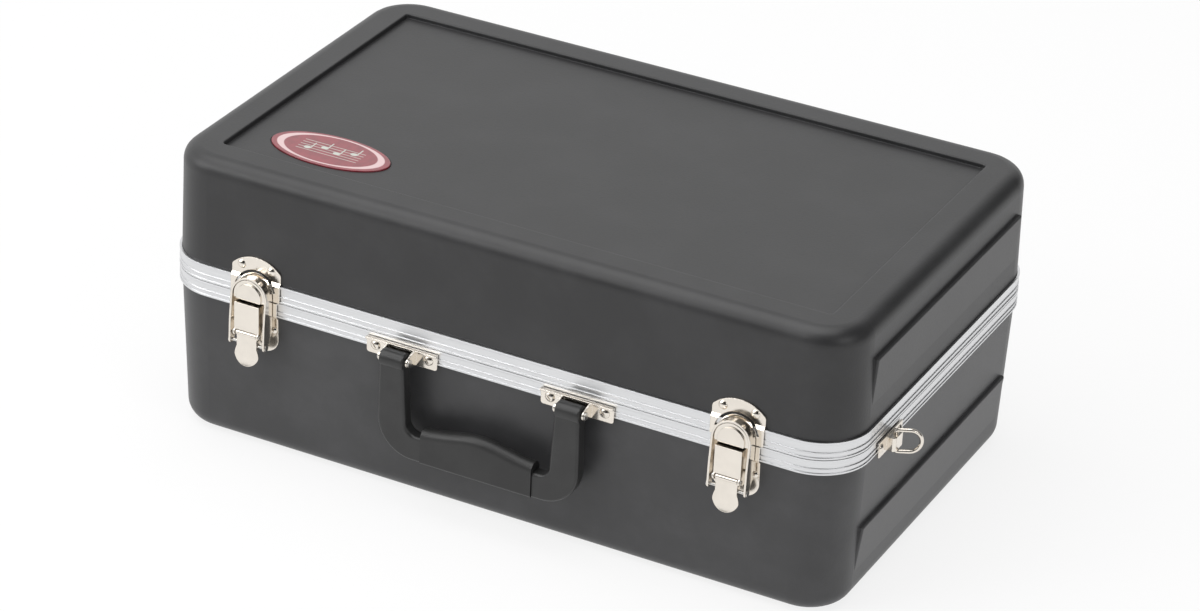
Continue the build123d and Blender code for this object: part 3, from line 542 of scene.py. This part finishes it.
# %% [markdown]
# Enamel is ground glass that was melted on, so the red ground is slightly mottled. The ring and the
# marks are raised, as the metal walls between two colours are.

# %% Badge enamel
enamel_rose = (0.66, 0.47, 0.47)
enamel_pale = (0.50, 0.52, 0.47)
wall_height = 0.7

mottle = badge_enamel.noise(140.0, detail=4.0)
ground = badge_enamel.tint(mottle.rises(*noise_span), darker=0.82, lighter=1.12)
with_ring = badge_enamel.blend(pale_ring, ground, (*enamel_rose, 1))
badge_enamel.paint(badge_enamel.blend(marks, with_ring, (*enamel_pale, 1)))
badge_enamel.rough(0.26 + mottle * 0.12)
badge_enamel.relief(marks * wall_height + pale_ring * wall_height, 0.00012, 0.6)
print("badge enamel ready")

# %% [markdown]
# The inside is lined with short plush. At arm's length its pile shows as a fine speckle, and
# brushing leaves lighter and darker patches. The sheen value of the shader gives the pale edge that
# plush has where it turns away.

# %% Plush
plush = Finish(
    "charcoal_plush",
    (0.030, 0.030, 0.034),
    {"Roughness": 0.95, "Sheen Weight": 0.35, "Sheen Roughness": 0.45},
)
pile = plush.noise(1500.0, detail=2.0)
brushed = plush.noise(34.0, detail=3.0, roughness=0.55)
plush.tint((brushed * 0.65 + pile * 0.35).rises(0.36, 0.64), darker=0.60, lighter=1.75)
plush.rough(0.86 + brushed * 0.12)
plush.relief(pile * 0.6 + brushed * 0.4, 0.0007, 0.8)
print("plush ready")

# %% [markdown]
# The soft pieces are made from copies of CAD meshes. Such a mesh is loose triangles, so a copy is
# joined up before anything else is done to it. An operator works on what is selected, so each step
# selects its own object first.

# %% Copies of CAD nodes
weld_reach = 0.00001


def only(piece):
    """Select one object and make it active."""
    bpy.ops.object.select_all(action="DESELECT")
    piece.select_set(True)
    bpy.context.view_layer.objects.active = piece


def apply(piece, kind, name, **settings):
    """Add a modifier, set it and apply it."""
    only(piece)
    modifier = piece.modifiers.new(name, kind)
    for setting, value in settings.items():
        setattr(modifier, setting, value)
    bpy.ops.object.modifier_apply(modifier=modifier.name)


def joined_copy(node_name, piece_name):
    """A copy of a CAD node's mesh in a new object, with its loose triangles joined."""
    piece = bpy.data.objects.new(piece_name, nodes[node_name].data.copy())
    scene.collection.objects.link(piece)
    only(piece)
    bpy.ops.object.mode_set(mode="EDIT")
    bpy.ops.mesh.select_all(action="SELECT")
    bpy.ops.mesh.remove_doubles(threshold=weld_reach)
    bpy.ops.object.mode_set(mode="OBJECT")
    return piece


print("copying ready")

# %% [markdown]
# Foam under plush has no sharp edge anywhere, and the cloth is drawn tight over it. Each padded
# piece starts as a copy of its CAD solid, remeshed to even faces and taken in a little. Cloth with
# air pressure inside then puffs it out, which rounds the edges and crowns the faces as stuffing
# does. How far a point may move is capped, so that no wall closes a pocket, and what lies against a
# shell is held where it lies.

# %% Stuffing
settle_frames = 20
air_pressure = 4.0
cloth_quality = 4


def puffed(piece, start, held):
    """Where each point comes to rest when the piece is pumped up."""
    still = piece.vertex_groups.new(name="still")
    still.add([index for index, place in enumerate(start) if held(place)], 1.0, "REPLACE")
    cloth = piece.modifiers.new("stuffing", "CLOTH")
    cloth.settings.quality = cloth_quality
    cloth.settings.use_pressure = True
    cloth.settings.uniform_pressure_force = air_pressure
    cloth.settings.effector_weights.gravity = 0
    cloth.settings.vertex_group_mass = still.name
    cloth.point_cache.frame_end = settle_frames
    for number in range(1, settle_frames + 1):
        scene.frame_set(number)
    settled = piece.evaluated_get(bpy.context.evaluated_depsgraph_get()).data
    reached = [vertex.co.copy() for vertex in settled.vertices]
    piece.modifiers.remove(cloth)
    scene.frame_set(1)
    return reached


def stuffed(node_name, piece_name, voxel, taken_in, cap, held):
    """A puffed-out copy of a CAD node; held says which points stay where they are."""
    piece = joined_copy(node_name, piece_name)
    apply(piece, "REMESH", "even_faces", mode="VOXEL", voxel_size=voxel)
    apply(piece, "DISPLACE", "taken_in", strength=-taken_in, mid_level=0)
    start = [vertex.co.copy() for vertex in piece.data.vertices]
    for vertex, first, last in zip(piece.data.vertices, start, puffed(piece, start, held)):
        move = last - first
        if move.length > cap:
            move *= cap / move.length
        vertex.co = first + move
    apply(piece, "SUBSURF", "rounder", levels=1, render_levels=1)
    return piece


def lined(piece, body):
    """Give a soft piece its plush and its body."""
    piece.data.materials.clear()
    piece.data.materials.append(plush.material)
    only(piece)
    bpy.ops.object.shade_smooth()
    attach(piece, body)


print("stuffing ready")

# %% [markdown]
# The fitted insert is three blocks of foam, each covered by itself: one holds the cornet, one has
# the long well, and one has the short well and the mouthpiece holes. Their floors and outer sides
# lie close to the base shell, so they are held. Where two blocks meet they puff against each other,
# and each is kept inside its CAD solid's box so that they only touch. Only the top may crown a
# little higher.

# %% Fitted insert
block_nodes = ("horn_block", "long_well_block", "small_parts_block")
block_boxes = {name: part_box(name) for name in block_nodes}
insert_low = [min(low[axis] for low, high in block_boxes.values()) for axis in range(3)]
insert_high = [max(high[axis] for low, high in block_boxes.values()) for axis in range(3)]
side_keep = 0.004
crown_room = (0, 0, 0.002)
block_stuffing = {"voxel": 0.0048, "taken_in": 0.0012, "cap": 0.0028}


def against_base(place):
    """True for the insert's floor and outer sides."""
    near_end = min(place.x - insert_low[0], insert_high[0] - place.x) < side_keep
    near_side = min(place.y - insert_low[1], insert_high[1] - place.y) < side_keep
    return place.z < insert_low[2] + side_keep or near_end or near_side


for block_name, (low, high) in block_boxes.items():
    plush_block = stuffed(block_name, f"plush_{block_name}", held=against_base, **block_stuffing)
    for vertex in plush_block.data.vertices:
        for axis in range(3):
            highest = high[axis] + crown_room[axis]
            vertex.co[axis] = min(max(vertex.co[axis], low[axis]), highest)
    lined(plush_block, "base")
    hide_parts(block_name)
    print(plush_block.name, "has", len(plush_block.data.polygons), "faces")

# %% [markdown]
# A corded welt hides the seam where the plush turns down into each pocket and along the outer edge.
# The seam lines are already in the CAD meshes: they are the borders of the flat tops. Selecting
# those faces and asking for their border gives the loops, which turn into curves with a round
# profile. Where two blocks meet, one cord lies over the joint, so the other block's edge is left
# out.

# %% Seam cords
welt_radius = 0.0014
welt_lift = 0.4 * welt_radius
joint_reach = 0.0001


def on_joint(block_name, middle):
    """True for an edge that another block's cord already covers."""
    low, high = block_boxes[block_name]
    if block_name == "small_parts_block" and abs(middle.x - low[0]) < joint_reach:
        return True
    return block_name != "horn_block" and abs(middle.y - high[1]) < joint_reach


def seam_cord(block_name):
    """A round cord along the edges of a block's flat top."""
    cord = joined_copy(block_name, f"{block_name}_welt")
    bpy.ops.object.mode_set(mode="EDIT")
    bpy.ops.mesh.select_mode(type="FACE")
    bpy.ops.mesh.select_all(action="DESELECT")
    bpy.ops.object.mode_set(mode="OBJECT")
    for face in cord.data.polygons:
        face.select = face.center.z > insert_high[2] - joint_reach
    bpy.ops.object.mode_set(mode="EDIT")
    bpy.ops.mesh.region_to_loop()
    bpy.ops.object.mode_set(mode="OBJECT")
    points = cord.data.vertices
    for edge in cord.data.edges:
        if edge.select:
            middle = (points[edge.vertices[0]].co + points[edge.vertices[1]].co) / 2
            edge.select = not on_joint(block_name, middle)
    bpy.ops.object.mode_set(mode="EDIT")
    bpy.ops.mesh.select_mode(type="EDGE")
    bpy.ops.mesh.select_all(action="INVERT")
    bpy.ops.mesh.delete(type="EDGE")
    bpy.ops.mesh.select_all(action="SELECT")
    bpy.ops.transform.translate(value=(0, 0, welt_lift))
    bpy.ops.object.mode_set(mode="OBJECT")
    bpy.ops.object.convert(target="CURVE")
    curve = bpy.context.object.data
    curve.bevel_depth = welt_radius
    curve.bevel_resolution = 2
    curve.use_fill_caps = True
    bpy.ops.object.convert(target="MESH")
    return bpy.context.object


cords = [seam_cord(block_name) for block_name in block_nodes]
print(len(cords), "runs of cord")

# %% [markdown]
# The cords are one piece of trim, so they are joined into one object. Like the plush under it, it
# belongs to the base.

# %% Pocket welt
bpy.ops.object.select_all(action="DESELECT")
for cord in cords:
    cord.select_set(True)
bpy.context.view_layer.objects.active = cords[0]
bpy.ops.object.join()
pocket_welt = bpy.context.object
pocket_welt.name = "pocket_welt"
lined(pocket_welt, "base")
print("pocket welt has", len(pocket_welt.data.polygons), "faces")

# %% [markdown]
# The lid's cushion is a flat pad that is sewn through in lines, so it swells between them. The
# puffing comes first. Then the seams are pressed in, because remeshing would have wiped out grooves
# as fine as these. Which points face down is noted before any of them is moved, because after each
# move Blender would work out all the normals again.

# %% Lid cushion
cushion_low, cushion_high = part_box("lid_cushion")
cushion_centre = centre_of(cushion_low, cushion_high)
seams_across = (-0.120, -0.040, 0.040, 0.120)
seams_along = (-0.036, 0.036)
seam_depth = 0.0042
seam_width = 0.0045
glue_reach = 0.003
facing_down = -0.3
cushion_stuffing = {"voxel": 0.0042, "taken_in": 0.0010, "cap": 0.0060}


def against_lid(place):
    """True for the face that is glued to the lid."""
    return place.z > cushion_high[2] - glue_reach


plush_cushion = stuffed("lid_cushion", "plush_cushion", held=against_lid, **cushion_stuffing)
on_show = [vertex.normal.z < facing_down for vertex in plush_cushion.data.vertices]
for vertex, is_below in zip(plush_cushion.data.vertices, on_show):
    if is_below:
        nearest = min(
            min(abs(vertex.co.x - cushion_centre[0] - x) for x in seams_across),
            min(abs(vertex.co.y - cushion_centre[1] - y) for y in seams_along),
        )
        vertex.co.z += seam_depth * math.exp(-((nearest / seam_width) ** 2))
    vertex.co.z = min(vertex.co.z, cushion_high[2])
lined(plush_cushion, "lid")
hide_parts("lid_cushion")
print("plush cushion has", len(plush_cushion.data.polygons), "faces")

# %% [markdown]
# Every hard node now gets the finish that its material slot in the record names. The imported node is
# left as it is; only its material slots are filled.

# %% Dress the hard nodes
finishes = {
    "shell_plastic": shell_plastic,
    "valance_aluminium": valance_aluminium,
    "nickel": nickel,
    "steel_pins": steel_pins,
    "handle_plastic": handle_plastic,
    "handle_grip_plastic": grip_plastic,
    "badge_enamel": badge_enamel,
}
slot_of = {row["node"]: row["material_slot"] for row in frame["record"]["subparts"]}
for node_name, node in nodes.items():
    finish = finishes.get(slot_of[node_name])
    if finish:
        node.data.materials.clear()
        node.data.materials.append(finish.material)
print("dressed", sum(slot_of[name] in finishes for name in nodes), "of", len(nodes), "nodes")
